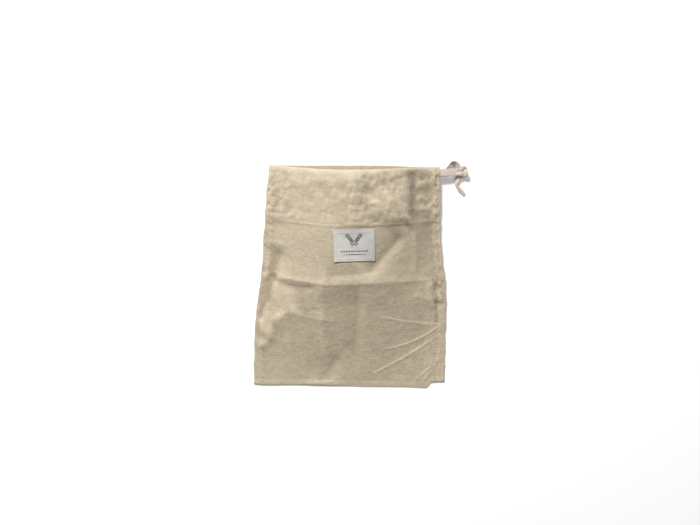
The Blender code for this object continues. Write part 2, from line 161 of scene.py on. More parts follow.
PUCKERS = [
    # crumples of the doubled hem, first at the left seam, then under the lip, then right
    Fold((-126, 131), (-110, 126), (-95, 118), 1.8, 7, 4, 0.4, 0.20),
    Fold((-129, 105), (-115, 104), (-99, 102), 1.6, 6, 3.5, 0.4, 0.20),
    Fold((-127, 92), (-118, 91), (-107, 92), 1.2, 5, 3, 0.4, 0.25),
    Fold((-94, 152), (-76, 143), (-57, 141), 1.2, 6, 4, 0.5, 0.25),
    Fold((-56, 148), (-40, 146), (-20, 142), 1.0, 6, 4, 0.5, 0.25),
    Fold((-38, 133), (-30, 134), (-22, 137), 0.8, 4, 3, 0.4, 0.30),
    Fold((22, 106), (32, 108), (42, 112), 1.0, 5, 3, 0.4, 0.30),
    Fold((82, 92), (88, 84), (92, 72), 1.8, 4, 3, 0.4, 0.30),
    Fold((112, 104), (122, 110), (134, 124), 1.4, 5, 4, 0.4, 0.25),
    Fold((104, 140), (116, 146), (132, 152), 1.2, 5, 4, 0.4, 0.25),
    Fold((60, 149), (72, 151), (86, 158), 1.0, 4, 3, 0.4, 0.25),
    Fold((-126, 152), (-116, 148), (-104, 150), 1.0, 5, 3, 0.4, 0.25),
    Fold((-128, 118), (-120, 114), (-108, 113), 1.0, 4, 3, 0.4, 0.25),
    Fold((106, 76), (116, 78), (132, 80), 1.0, 5, 3, 0.4, 0.25),
    Fold((133, 154), (137, 153.5), (142, 153), -2.6, 1.6, 2.2, 0.4, 0.30),
    Fold((130, 142), (134, 141), (140, 140), -1.4, 2.0, 2.4, 0.4, 0.30),
    Fold((128, 109), (133, 108), (139, 108), -1.2, 2.4, 2.4, 0.4, 0.30),
]


# -------------------------------------- shape functions
def ease(t):
    """Smooth step: 3 t squared minus 2 t cubed, held at 0 and 1 outside."""
    t = np.clip(t, 0.0, 1.0)
    return t * t * (3.0 - 2.0 * t)


def between(section, u):
    """The x at a share u of the way from a section's left seam to its right one."""
    return section.left + (section.right - section.left) * u


def along_sections(name, y):
    """A column of SECTIONS read at y: a cubic between rows whose slope at a row is the
    harmonic mean of the slopes beside it, so that it never overshoots."""
    at = np.array([row.y for row in SECTIONS])
    value = np.array([getattr(row, name) for row in SECTIONS])
    step = np.diff(at)
    slope = np.diff(value) / step
    product = slope[:-1] * slope[1:]
    total = np.where(product > 0.0, slope[:-1] + slope[1:], 1.0)
    inner = np.where(product > 0.0, 2.0 * product / total, 0.0)
    tangent = np.concatenate([slope[:1], inner, slope[-1:]])
    i = np.clip(np.searchsorted(at, y) - 1, 0, len(at) - 2)
    t = np.clip((y - at[i]) / step[i], 0.0, 1.0)
    start = (2 * t**3 - 3 * t**2 + 1) * value[i] + (t**3 - 2 * t**2 + t) * step[i] * tangent[i]
    end = (3 * t**2 - 2 * t**3) * value[i + 1] + (t**3 - t**2) * step[i] * tangent[i + 1]
    return start + end


def ripples(x, y, size, seed, stretch=1.0, waves=18):
    """Soft noise about 1 high: a sum of cosines of about one wavelength in all directions.

    stretch above 1 makes its ripples longer along x.
    """
    draw = np.random.default_rng(seed)
    angle = draw.uniform(0.0, np.pi, waves)
    number = 2.0 * np.pi / (size * draw.uniform(0.7, 1.5, waves))
    phase = draw.uniform(0.0, 2.0 * np.pi, waves)
    total = np.zeros(np.broadcast(x, y).shape)
    for a, k, p in zip(angle, number, phase):
        total += np.cos(k * (np.cos(a) * x / stretch + np.sin(a) * y) + p)
    return total * np.sqrt(2.0 / waves)


def left_edge(y):
    """Left seam in plan, drawn in a little between its puckers."""
    return along_sections("left", y) + 0.35 * ripples(0.0 * y, y, 30.0, 31)


def right_edge(y):
    """Right seam in plan, more puckered than the left."""
    return along_sections("right", y) - 0.35 + 0.28 * ripples(0.0 * y, y, 24.0, 32)


def near(x, centre, reach):
    """Bell that is 1 at centre and falls off within reach."""
    return np.exp(-(((x - centre) / reach) ** 2))


def back_lip_at(x):
    """Mouth edge of the back, drawn back a little at the right seam."""
    return LIP_Y - LIP_SLANT * ease((x - 34.0) / 106.0)


def front_lip_at(x):
    """Mouth edge of the front: the higher it stands, the further it draws back."""
    q = np.clip(np.abs(x - 7.0) / 132.5, 0.0, 1.0)
    return back_lip_at(x) - LIP_DIP * (1.0 - q**2.4) ** 1.6


def hem_line_at(x):
    """Bottom of the turned hem, parallel to the lip."""
    return front_lip_at(x) - HEM_DEPTH


def casing_line_at(x):
    """Stitch line under the casing. It wavers a little."""
    return front_lip_at(x) - CASING_DEPTH + 3.6 * near(x, 60.0, 26.0) + 5.0 * near(x, 135.0, 30.0)


def layer_gap(y):
    """Spacing of the two hem layers: wide in the casing, close below its stitch line."""
    return HEM_GAP + (CASING_GAP - HEM_GAP) * ease((y - (LIP_Y - CASING_DEPTH - 6.0)) / 8.0)


def edge_distance(x, y):
    """Distance in plan to the nearer side seam."""
    return np.minimum(x - left_edge(y), right_edge(y) - x)


def rounded(distance, radius):
    """Quarter circle from 0 at an edge to 1 a radius inside it."""
    s = 1.0 - np.clip(distance / radius, 0.0, 1.0)
    return np.sqrt(np.clip(1.0 - s * s, 0.0, 1.0))


def half_stack(x, y):
    """Half of the layers at a side seam, from its middle to the outer layer's middle.

    The edge rounds off to a closed seam, but stays open where the tape comes out.
    """
    in_hem = ease((y - (hem_line_at(x) - 5.0)) / 7.0)
    least = (CLOTH + GAP) / 2.0
    d = edge_distance(x, y)
    over_allowance = ALLOWANCE_RISE * (1.0 - ease((d - ALLOWANCE + 3.0) / 6.0)) * (1.0 - in_hem)
    full = in_hem * layer_gap(y) + over_allowance
    tape_mouth = (x > 0.0) * np.exp(-(((y - (LIP_Y - TAPE_BELOW_LIP)) / 8.5) ** 4))
    roll = rounded(d, EDGE_ROLL)
    return least + full * (roll + (1.0 - roll) * tape_mouth)


def fold_height(fold, x, y):
    """One fold: height times exp of minus the rounded distance from its arc, in widths."""
    (x0, y0), (xm, ym), (x1, y1) = fold.start, fold.middle, fold.end
    dx, dy = x1 - x0, y1 - y0
    length = np.hypot(dx, dy)
    middle_u = ((xm - x0) * dx + (ym - y0) * dy) / length**2
    middle_d = ((ym - y0) * dx - (xm - x0) * dy) / length
    u = ((x - x0) * dx + (y - y0) * dy) / length**2
    d = ((y - y0) * dx - (x - x0) * dy) / length
    inside = np.clip(u, 0.0, 1.0)
    d = d - middle_d * inside * (1.0 - inside) / (middle_u * (1.0 - middle_u))
    r = np.abs(d) / np.where(d > 0.0, fold.left, fold.right)
    fade = ease((u + fold.tip) / (2.0 * fold.tip)) * ease((1.0 + fold.tip - u) / (2.0 * fold.tip))
    return fold.height * fade * np.exp(fold.soft - np.sqrt(r * r + fold.soft**2))


def folded(folds, x, y):
    """Sum of a list of folds."""
    return sum(fold_height(fold, x, y) for fold in folds)


def across(x, y):
    """Place across a section: 0 at the crown, 1 at a side seam, and that seam's height."""
    left, right = left_edge(y), right_edge(y)
    crown_x = along_sections("crown_x", y)
    on_left = x < crown_x
    q = np.where(on_left, (crown_x - x) / (crown_x - left), (x - crown_x) / (right - crown_x))
    seam = np.where(on_left, along_sections("seam_left", y), along_sections("seam_right", y))
    return np.clip(q, 0.0, 1.0), seam


def back_height(x, y):
    """Middle of the back layer: flat on the surface, curving up to the side seams."""
    q, seam = across(x, y)
    rest = CLOTH / 2.0
    edge = np.maximum(seam - half_stack(x, y), rest)
    lifted = ease((q - 0.72) / 0.28)
    sag = 0.5 * lifted * (1.0 - lifted) * ripples(x, y, 34.0, 11)
    return np.maximum(rest, rest + (edge - rest) * lifted + sag)


def puckers(x, y):
    """Small crumples of the double cloth: in the hem, and along both side seams."""
    in_hem = ease((y - hem_line_at(x) - 1.0) / 6.0)
    quiet = 0.60 + 0.40 * ease((x + 20.0) / 40.0) + 0.45 * near(x, -120.0, 24.0)
    band = 0.28 * ripples(x, y, 19.0, 3, stretch=1.4) + 0.15 * ripples(x, y, 9.0, 4, stretch=1.2)
    creased = 0.45 * (0.8 - np.abs(ripples(x, y, 26.0, 13, stretch=1.5)))
    band = (band + creased) * quiet
    foot = near(y, hem_line_at(x) + 8.0, 7.0) * ease((x + 5.0) / 20.0) * ease((75.0 - x) / 20.0)
    band = band + 0.3 * foot * ripples(x, y, 8.0, 9, stretch=1.8)
    d = edge_distance(x, y)
    at_seam = np.exp(-np.clip(d, 0.0, None) / 14.0)
    groove = (x > 0.0) * np.exp(-np.abs(d - 4.0) / 1.3) * near(y, 75.0, 70.0)
    calm = 1.0 - 0.7 * ease((-30.0 - y) / 30.0)
    crumple = 0.35 * ripples(0.0 * x, y, 13.0, 6) + 0.2 * ripples(x, y, 7.0, 7)
    seam_pull = -0.7 * groove + at_seam * calm * crumple
    return in_hem * (band + folded(PUCKERS, x, y)) + seam_pull


def stitch_pull(x, y):
    """Dents along the two stitch lines of the hem, deeper at each stitch and on the right."""
    casing = y - casing_line_at(x)
    foot = y - hem_line_at(x) - HEM_STITCH
    beat = 0.75 + 0.25 * ripples(x, 0.0 * y, 8.0, 8)
    on_right = 0.12 + 0.88 * ease((x - 5.0) / 30.0)
    return -beat * on_right * (0.9 * np.exp(-np.abs(casing) / 2.4) + 0.4 * np.exp(-np.abs(foot) / 2.0))


def hang(x, y):
    """Broad unevenness of the washed cloth."""
    q, _ = across(x, y)
    lower = 1.0 - ease((y + 30.0) / 40.0)
    free = ease((1.0 - q) * 5.0)
    broad = 0.45 * ripples(x, y, 80.0, 1) + 0.08 * ripples(x, y, 26.0, 2)
    return free * broad * (0.45 + 0.75 * lower)


def front_height(x, y):
    """Middle of the front layer: a dome between the seams, fuller toward the mouth, with
    its folds; the hem's second layer raises it by its gap from the hem line upward."""
    q, seam = across(x, y)
    full = np.clip((y + 150.0) / 180.0, 0.0, 1.0)
    on_right = ease((x + 10.0) / 60.0) * ease((y + 10.0) / 90.0)
    boxy = full * (0.15 + 0.85 * on_right)
    slack_right = ease((x - 60.0) / 60.0) * ease((20.0 - y) / 60.0)
    dome = (1.0 - q ** (2.0 + 2.2 * boxy)) ** (1.5 + 1.9 * boxy - 0.32 * slack_right)
    edge = np.maximum(seam + half_stack(x, y), CLOTH * 1.5 + GAP)
    height = edge + (along_sections("crown", y) - edge) * dome
    in_hem = ease((y - hem_line_at(x) + 1.2) / 2.4)
    step = 0.3 + 1.1 * ease((x + 20.0) / 30.0)
    ridge = 0.6 * (1.0 - ease((x + 20.0) / 20.0)) * near(y, hem_line_at(x), 1.6)
    height = height + (step * (in_hem - 1.0) + ridge) * dome
    height = height - 1.6 * np.exp(-(front_lip_at(x) - y) / 2.6)
    reach = 0.3 + 0.7 * ease((1.0 - q) * 12.0)
    height = height + reach * folded(BROAD_FOLDS, x, y)
    height = height + folded(FAN_CREASES + FAINT_LINES, x, y)
    roll = rounded(edge_distance(x, y), 2.0 * EDGE_ROLL)
    height = height + roll * (puckers(x, y) + stitch_pull(x, y) + hang(x, y))
    bottom = rounded(y - bottom_edge_at(x), EDGE_ROLL)
    turned = 0.5 * (1.0 - ease((y - bottom_edge_at(x) - 6.0) / 3.5))
    height = height + turned * bottom
    lowest = back_height(x, y) + CLOTH + GAP
    return lowest + np.logaddexp(0.0, (height - lowest) * 2.0) / 2.0 * bottom


def bottom_edge_at(x):
    """Bottom seam: it slants a little and steps back at the right corner."""
    first = SECTIONS[0]
    u = np.clip((x - first.left) / (first.right - first.left), 0.0, 1.0)
    wavy = 0.35 * ripples(x, 0.0 * x, 60.0, 12)
    return BOTTOM_Y + 4.5 * (1.0 - u) + 8.5 * ease((u - 0.905) / 0.03) + wavy


def surface_frame(height, x, y, step=0.7):
    """Points of a layer and their unit normals, pointing up."""
    slope_x = (height(x + step, y) - height(x - step, y)) / (2.0 * step)
    slope_y = (height(x, y + step) - height(x, y - step)) / (2.0 * step)
    normal = np.stack([-slope_x, -slope_y, np.ones_like(slope_x)], axis=-1)
    normal /= np.linalg.norm(normal, axis=-1, keepdims=True)
    return np.stack([x, y, height(x, y)], axis=-1), normal


def spread(count, dense):
    """Numbers from 0 to 1, closer together near each dense place (place, reach, gain)."""
    fine = np.linspace(0.0, 1.0, 4001)
    weight = 1.0 + sum(gain * near(fine, place, reach) for place, reach, gain in dense)
    total = np.concatenate([[0.0], np.cumsum((weight[1:] + weight[:-1]) / 2.0)])
    return np.interp(np.linspace(0.0, total[-1], count), total, fine)


# -------------------------------------- mesh helpers
def grid_quads(index):
    """Quads between the rows and columns of a grid of point numbers."""
    return np.stack([index[..., :-1, :-1], index[..., :-1, 1:], index[..., 1:, 1:],
                     index[..., 1:, :-1]], axis=-1)


def grid_mesh(name, grid, uv, keep=None, values=None, flip=False):
    """An object from a grid of points in millimetres, with UVs in metres and attributes.
    keep says which quads there are, and flip turns them over."""
    rows, columns = grid.shape[:2]
    quads = grid_quads(np.arange(rows * columns).reshape(rows, columns))
    quads = quads.reshape(-1, 4) if keep is None else quads[keep]
    quads = quads[:, ::-1] if flip else quads
    used = np.unique(quads)
    return mesh_object(name, grid.reshape(-1, 3)[used], np.searchsorted(used, quads),
                       uv.reshape(-1, 2)[used],
                       {k: v.reshape(-1)[used] for k, v in (values or {}).items()})


def mesh_object(name, points, quads, uv=None, values=None):
    """An object from points in millimetres and quads."""
    mesh = bpy.data.meshes.new(name)
    mesh.vertices.add(len(points))
    mesh.vertices.foreach_set("co", (points * MM).astype(np.float32).ravel())
    mesh.loops.add(quads.size)
    mesh.loops.foreach_set("vertex_index", quads.astype(np.int32).ravel())
    mesh.polygons.add(len(quads))
    mesh.polygons.foreach_set("loop_start", np.arange(0, quads.size, 4, dtype=np.int32))
    mesh.update(calc_edges=True)
    if uv is not None:
        layer = mesh.uv_layers.new(name="cloth")
        layer.uv.foreach_set("vector", uv[quads.ravel()].astype(np.float32).ravel())
    for key, value in (values or {}).items():
        attribute = mesh.attributes.new(key, "FLOAT", "POINT")
        attribute.data.foreach_set("value", value.astype(np.float32))
    mesh.shade_smooth()
    item = bpy.data.objects.new(name, mesh)
    bpy.context.collection.objects.link(item)
    return item


def thicken(item, thickness):
    """Turn a middle surface into a closed sheet, half of it to each side."""
    solid = item.modifiers.new("Thickness", "SOLIDIFY")
    solid.thickness = thickness * MM
    solid.offset = 0.0
    solid.use_quality_normals = True
    return item


def smooth_route(stations, count):
    """Catmull-Rom curve through stations, read at count places: its points, and the turn
    about it in radians."""
    points = np.array([(*station.point, station.turn) for station in stations], dtype=float)
    at = np.linspace(0.0, len(points) - 1.0, count)
    padded = np.concatenate([2 * points[:1] - points[1:2], points, 2 * points[-1:] - points[-2:-1]])
    i = np.clip(np.floor(at).astype(int), 0, len(points) - 2)
    t = (at - i)[:, None]
    p0, p1, p2, p3 = padded[i], padded[i + 1], padded[i + 2], padded[i + 3]
    rows = 0.5 * (2 * p1 + (p2 - p0) * t + (2 * p0 - 5 * p1 + 4 * p2 - p3) * t**2
                  + (3 * p1 - p0 - 3 * p2 + p3) * t**3)
    return rows[:, :3], np.radians(rows[:, 3])


def length_along(points):
    """Length of a line of points up to each of them."""
    return np.concatenate([[0.0], np.cumsum(np.linalg.norm(np.diff(points, axis=0), axis=1))])


def route_frame(route):
    """Unit vectors at each point of a route: level across it, and up from it."""
    way = np.gradient(route, axis=0)
    way /= np.linalg.norm(way, axis=1, keepdims=True)
    side = np.cross([0.0, 0.0, 1.0], way)
    side /= np.linalg.norm(side, axis=1, keepdims=True)
    return side, np.cross(way, side)


def tube_grid(route, width, height, twist, sides, ridges, ridge_count):
    """Rings of a tube along a route: an ellipse of that width and height, turned by twist,
    its radius times 1 plus ridges times a cosine that goes ridge_count times round."""
    side, up = route_frame(route)
    a = 2.0 * np.pi * np.arange(sides) / sides
    ring = 1.0 + ridges * np.cos(ridge_count * a)
    px = width[:, None] / 2.0 * np.cos(a) * ring
    py = height[:, None] / 2.0 * np.sin(a) * ring
    c, s = np.cos(twist)[:, None], np.sin(twist)[:, None]
    across_way, upward = px * c - py * s, px * s + py * c
    return route[:, None] + side[:, None] * across_way[..., None] + up[:, None] * upward[..., None]


def tube_object(name, grid, length, joined=False):
    """A tube from rings with a cap at both ends, or with its ends joined. Its UVs run along
    it and 20 mm round it, in metres."""
    rings, sides = grid.shape[:2]
    index = np.arange(rings * sides).reshape(rings, sides)
    index = np.concatenate([index, index[:, :1]], axis=1)
    if joined:
        index = np.concatenate([index, index[:1]])
    quads = grid_quads(index).reshape(-1, 4)
    if not joined:
        k = np.arange(sides // 2 - 1)
        cap = np.stack([k, k + 1, sides - 2 - k, sides - 1 - k], axis=-1)
        quads = np.concatenate([quads, cap[:, ::-1], cap + index[-1, 0]])
    v = np.repeat(np.arange(rings) / (len(index) - 1) * length * MM, sides)
    u = np.tile(np.arange(sides) / sides * 0.02, rings)
    return mesh_object(name, grid.reshape(-1, 3), quads, np.stack([u, v], axis=-1))


# -------------------------------------- the two panels
TURN_ROWS = 9               # rows round the folded lip


def panel_grid(height, lip_at, inward, columns, rows, dense_rows, dense_columns):
    """Middle surface of a panel: up its outside, round the lip in a half circle and down
    inside the hem. Returns the points, their UVs in metres and which quads there are."""
    u = spread(columns, dense_columns)
    v = spread(rows, dense_rows)
    bottom, lip = bottom_edge_at(between(SECTIONS[0], u)), lip_at(between(SECTIONS[-1], u))
    y = bottom * (1.0 - v[:, None]) + lip * v[:, None]
    left, right = left_edge(y), right_edge(y)
    outer, normal = surface_frame(height, left + (right - left) * u, y)
    normal = normal * inward
    gap = layer_gap(y)[..., None]

    toward = outer[-1] - outer[-3]
    toward /= np.linalg.norm(toward, axis=-1, keepdims=True)
    radius = gap[-1] / 2.0
    centre = outer[-1] + normal[-1] * radius
    angles = np.pi * np.arange(1, TURN_ROWS + 1) / (TURN_ROWS + 1)
    turn = np.array([centre - normal[-1] * radius * np.cos(a) + toward * radius * np.sin(a)
                     for a in angles])
    inside = [row for row in range(rows - 1, 0, -1) if v[row] > 1.0 - HEM_DEPTH / FLAT_LENGTH]
    inside = inside[:1] + inside[1::3]
    inner = outer[inside] + normal[inside] * gap[inside]

    flat_v = np.concatenate([v, np.full(TURN_ROWS, 1.0), 2.0 - v[inside]]) * FLAT_LENGTH
    uv = np.stack(np.broadcast_arrays((u - 0.5) * FLAT_WIDTH, flat_v[:, None]), axis=-1) * MM
    grid = np.concatenate([outer, turn, inner])
    keep = np.ones((len(grid) - 1, columns - 1), dtype=bool)
    keep[rows - 1 + TURN_ROWS:, u[1:] < 0.045] = False
    return grid, uv, keep


def proud(height, x, y, reach):
    """How far a layer stands above the mean of four places at a reach around it."""
    beside = height(x + reach, y) + height(x - reach, y) + height(x, y + reach) + height(x, y - reach)
    return height(x, y) - beside / 4.0


def panel_object(name, height, lip_at, inward, columns, rows, dense_rows, dense_columns):
    """A panel as a sheet, with two attributes that carry painted light on its cloth: one is a painted
    highlight along the fan creases, as high as they are;
    the other is painted shade in hollows and painted highlight on ridges, from how far the cloth stands
    proud within 3 mm, and 0.7 times the same in 9 mm."""
    grid, uv, keep = panel_grid(height, lip_at, inward, columns, rows, dense_rows, dense_columns)
    x, y = grid[..., 0], grid[..., 1]
    # painted highlight along the fan creases, taken from their height
    crease_highlight = np.clip(folded(FAN_CREASES, x, y), 0.0, 1.0)
    # painted shade in hollows and painted highlight on ridges, from how far the cloth stands proud
    fine, broad = proud(height, x, y, 3.0), proud(height, x, y, 9.0)
    relief_shade = np.clip(fine / 0.5, -1.0, 1.0) + 0.7 * np.clip(broad / 1.6, -1.0, 1.0)
    relief_shade = relief_shade * rounded(edge_distance(x, y), 9.0)
    values = {"crease_highlight": crease_highlight * (inward < 0.0), "relief_shade": 0.5 + 0.5 * relief_shade}
    item = grid_mesh(name, grid, uv, keep, values, flip=inward > 0.0)
    return thicken(item, CLOTH)


def row_place(y):
    """Share of the way up a panel at which y lies."""
    return (y - BOTTOM_Y) / (LIP_Y - BOTTOM_Y)


EDGES = [(0.0, 0.012, 3.0), (1.0, 0.012, 3.0)]      # columns lie closer at both seams
front = panel_object("linen_front", front_height, front_lip_at, -1.0, 196, 222,
                     [(row_place(-115.0), 0.16, 1.2), (row_place(-10.0), 0.03, 0.8),
                      (row_place(80.0), 0.03, 1.0), (0.0, 0.01, 3.0), (1.0, 0.02, 0.8)],
                     EDGES + [(0.84, 0.14, 1.0)])
back = panel_object("linen_back", back_height, back_lip_at, 1.0, 110, 90,
                    [(row_place(143.0), 0.03, 2.0), (0.0, 0.01, 2.0)], EDGES)


# -------------------------------------- label
def label_surface(s, t, lift):
    """Points over the front at label coordinates s, t (0 at its middle), in millimetres."""
    x = LABEL_AT[0] + s * np.cos(LABEL_TURN) - t * np.sin(LABEL_TURN)
    y = LABEL_AT[1] + s * np.sin(LABEL_TURN) + t * np.cos(LABEL_TURN)
    points, normal = surface_frame(front_height, x, y, step=2.5)
    return points + normal * np.asarray(lift)[..., None]


def label_lift(s, t):
    """Height of the label's middle over the front: it is folded under at its rim, so the
    rim is thicker, the stitch line pulls it down and one corner stands up."""
    rim = np.minimum(LABEL_WIDTH / 2.0 - np.abs(s), LABEL_HEIGHT / 2.0 - np.abs(t))
    folded = 0.35 * (1.0 - ease((rim - 4.5) / 1.2))
    pull = -0.28 * np.exp(-(((rim - 2.4) / 0.8) ** 2))
    corner = 1.3 * np.exp(-np.hypot(s + LABEL_WIDTH / 2.0, t + LABEL_HEIGHT / 2.0) / 5.0)
    wave = 0.12 * ripples(s, t, 16.0, 21)
    return 1.05 + folded + pull + corner + wave * ease(rim / 6.0)


def label_object():
    """The label's sheet, its rim a little uneven."""
    s = np.linspace(-0.5, 0.5, 96)[None, :] * LABEL_WIDTH
    t = np.linspace(-0.5, 0.5, 76)[:, None] * LABEL_HEIGHT
    s, t = np.broadcast_arrays(s, t)
    s = s + 0.35 * ripples(0.0 * s, t, 40.0, 22) * (np.abs(s) / LABEL_WIDTH)
    t = t + 0.35 * ripples(s, 0.0 * t, 50.0, 23) * (np.abs(t) / LABEL_HEIGHT)
    item = grid_mesh("woven_label", label_surface(s, t, label_lift(s, t)), np.stack([s, t], axis=-1) * MM)
    return thicken(item, LABEL_THICK)


def petals(name, shapes, lift):
    """Flat raised shapes on the label, joined in one mesh.

    A shape is (s, t, length, width, turn): a leaf that is pointed at both ends, its
    width going as the sine of the way along it to the power 0.8.
    """
    along, over = np.linspace(0.0, 1.0, 9)[:, None], np.linspace(-1.0, 1.0, 5)[None, :]
    grids = []
    for s, t, length, width, turn in shapes:
        a = (along - 0.5) * length + 0.0 * over
        b = 0.5 * width * np.sin(np.pi * along) ** 0.8 * over
        ps = s + a * np.cos(turn) - b * np.sin(turn)
        pt = t + a * np.sin(turn) + b * np.cos(turn)
        crown = lift * (1.0 - 0.6 * over**2 + 0.0 * along)
        grids.append(label_surface(ps, pt, label_lift(ps, pt) + LABEL_THICK / 2.0 + crown))
    points = np.array(grids)
    quads = grid_quads(np.arange(points.size // 3).reshape(points.shape[:3]))
    return thicken(mesh_object(name, points.reshape(-1, 3), quads.reshape(-1, 4)), 0.12)


def wheat_ear(foot, head, side):
    """A stalk from foot to head with five pairs of grains and one at its tip."""
    way = np.subtract(head, foot)
    turn = np.arctan2(way[1], way[0])
    middle = np.add(foot, head) / 2.0
    shapes = [(middle[0], middle[1], np.hypot(*way), 0.9, turn)]
    for i in range(5):
        at = np.add(foot, way * (0.50 + 0.115 * i))
        for hand in (1.0, -1.0):
            out = turn + hand * np.pi / 2.0
            shapes.append((at[0] + 1.7 * np.cos(out), at[1] + 1.7 * np.sin(out), 3.9, 1.5,
                           turn + hand * 0.5))
    shapes.append((head[0], head[1], 3.8, 1.5, turn))
    leaf = np.add(foot, way * 0.28)
    shapes.append((leaf[0] + 3.2 * side, leaf[1] + 0.4, 6.4, 1.7, np.pi / 2.0 - side * 1.25))
    return shapes


def motif_object():
    """Two crossed wheat ears over a row of lozenges and a plain rule, in a dark yarn."""
    shapes = wheat_ear((5.0, -4.0), (-10.5, 16.0), 1.0) + wheat_ear((-5.0, -4.0), (10.5, 16.0), -1.0)
    shapes += [(s, -8.6, 2.9, 2.2, 0.0) for s in np.linspace(-19.0, 19.0, 11)]
    shapes += [(0.0, -13.4, 37.0, 1.1, 0.0)]
    return petals("label_motif", shapes, 0.07)


label = label_object()
motif = motif_object()


# -------------------------------------- stitching
def stitches(name, points, normals, pitch, radius=0.33, rise=0.08):
    """A row of stitches along points, joined in one mesh: each is a short tube, bent so
    that its ends sink into the cloth along the normals."""
    share = 0.72                # of the pitch that a stitch covers
    total = length_along(points)
    count = int(total[-1] / pitch)
    rings, sides = 6, 6
    start = (np.arange(count) + 0.5 * (1.0 - share)) * pitch
    along = np.linspace(0.0, 1.0, rings)
    at = start[:, None] + along * pitch * share
    centre = np.stack([np.interp(at, total, points[:, k]) for k in range(3)], axis=-1)
    normal = np.stack([np.interp(at, total, normals[:, k]) for k in range(3)], axis=-1)
    normal /= np.linalg.norm(normal, axis=-1, keepdims=True)
    arch = np.sin(np.pi * along)[None, :, None]
    centre = centre + normal * (rise + radius * (2.2 * arch - 1.6))
    way = centre[:, -1:] - centre[:, :1]
    way = way / np.linalg.norm(way, axis=-1, keepdims=True)
    side = np.cross(normal, way)
    a = 2.0 * np.pi * np.arange(sides) / sides
    taper = radius * (0.35 + 0.65 * np.sin(np.pi * along) ** 0.5)[None, :, None, None]
    ring = side[:, :, None] * np.cos(a)[:, None] + normal[:, :, None] * np.sin(a)[:, None]
    grid = centre[:, :, None] + ring * taper
    index = np.arange(count * rings * sides).reshape(count, rings, sides)
    quads = grid_quads(np.concatenate([index, index[..., :1]], axis=2)).reshape(-1, 4)
    left, right = index[:, 0], index[:, -1]
    caps = [left[:, [0, 3, 2, 1]], left[:, [0, 5, 4, 3]], right[:, [0, 1, 2, 3]], right[:, [0, 3, 4, 5]]]
    return mesh_object(name, grid.reshape(-1, 3), np.concatenate([quads] + caps))


def line_stitches(name, line_at, low, high):
    """Stitches across the front along a line y(x)."""
    x = np.linspace(low, high, 400)
    points, normal = surface_frame(front_height, x, line_at(x))
    return stitches(name, points + normal * CLOTH / 2.0, normal, 3.1)


def label_stitches():
    """A round of stitches inside the label's rim."""
    w, h = LABEL_WIDTH / 2.0 - LABEL_STITCH, LABEL_HEIGHT / 2.0 - LABEL_STITCH
    corners = np.array([(-w, -h), (w, -h), (w, h), (-w, h), (-w, -h)])
    line = np.concatenate([np.linspace(a, b, 60) for a, b in zip(corners[:-1], corners[1:])])
    s, t = line[:, 0], line[:, 1]
    points = label_surface(s, t, label_lift(s, t) + LABEL_THICK / 2.0)
    above = label_surface(s, t, label_lift(s, t) + LABEL_THICK / 2.0 + 1.0)
    return stitches("label_stitching", points, above - points, 2.4, radius=0.2, rise=0.05)


casing_stitching = line_stitches("casing_stitching", casing_line_at, -121.0, 136.0)
hem_stitching = line_stitches("hem_stitching", lambda x: hem_line_at(x) + HEM_STITCH, -127.0, 134.0)
label_stitching = label_stitches()


# -------------------------------------- tape
Station = namedtuple("Station", "point turn")
FRONT_STRAND = [
    Station((141.5, 160.4, 14.2), 0),
    Station((146.5, 160.4, 14.2), 0),
    Station((151.5, 160.4, 13.4), 0),
    Station((156.5, 160.6, 12.0), 0),
    Station((162.6, 160.8, 10.6), 0),
    Station((168.0, 161.2, 9.4), 10),
]
BACK_STRAND = [
    Station((142.0, 160.4, 9.7), 4),
    Station((146.0, 161.2, 8.7), 26),
    Station((149.2, 164.0, 7.4), 58),
    Station((151.4, 168.4, 6.8), 80),
    Station((153.8, 173.0, 6.6), 86),
    Station((157.0, 175.8, 6.5), 80),
    Station((160.6, 176.2, 6.4), 66),
    Station((163.8, 174.4, 6.4), 54),
    Station((166.4, 172.0, 6.4), 48),
    Station((168.6, 167.8, 6.8), 46),
]
TAIL = [
    Station((170.0, 156.0, 5.6), 0),
    Station((168.2, 152.4, 4.6), 10),
    Station((166.2, 148.4, 4.2), 35),
    Station((165.2, 144.4, 4.0), 65),
    Station((166.2, 140.8, 3.8), 100),
    Station((168.8, 137.6, 3.6), 140),
    Station((171.6, 134.6, 3.0), 165),
    Station((174.2, 131.6, 2.4), 180),
    Station((176.6, 128.8, 1.9), 180),
    Station((178.8, 126.2, 1.6), 180),
]
TAPE_ACROSS = np.linspace(-0.5, 0.5, 9)


def strand_rows(stations, count):
    """Free tape: points across it at each place of a smooth curve, turned about the route."""
    middle, turn = smooth_route(stations, count)
    side, up = route_frame(middle)
    over = side * np.cos(turn)[:, None] + up * np.sin(turn)[:, None]
    face = up * np.cos(turn)[:, None] - side * np.sin(turn)[:, None]
    cupped = (1.0 - (2.0 * TAPE_ACROSS) ** 2) * 0.5
    return (middle[:, None] + over[:, None] * (TAPE_ACROSS * TAPE_WIDTH)[:, None]
            + face[:, None] * cupped[:, None])


def casing_rows(height, lip_at, inward, count):
    """Tape inside a casing from the left seam to the right, between its two layers."""
    u = np.linspace(0.042, 1.0, count)
    y = lip_at(between(SECTIONS[-1], u)) - TAPE_BELOW_LIP + TAPE_ACROSS[:, None] * TAPE_WIDTH
    left, right = left_edge(y), right_edge(y)
    outer, normal = surface_frame(height, left + (right - left) * u, y, step=2.5)
    return (outer + normal * inward * (layer_gap(y) / 2.0)[..., None]).transpose(1, 0, 2)


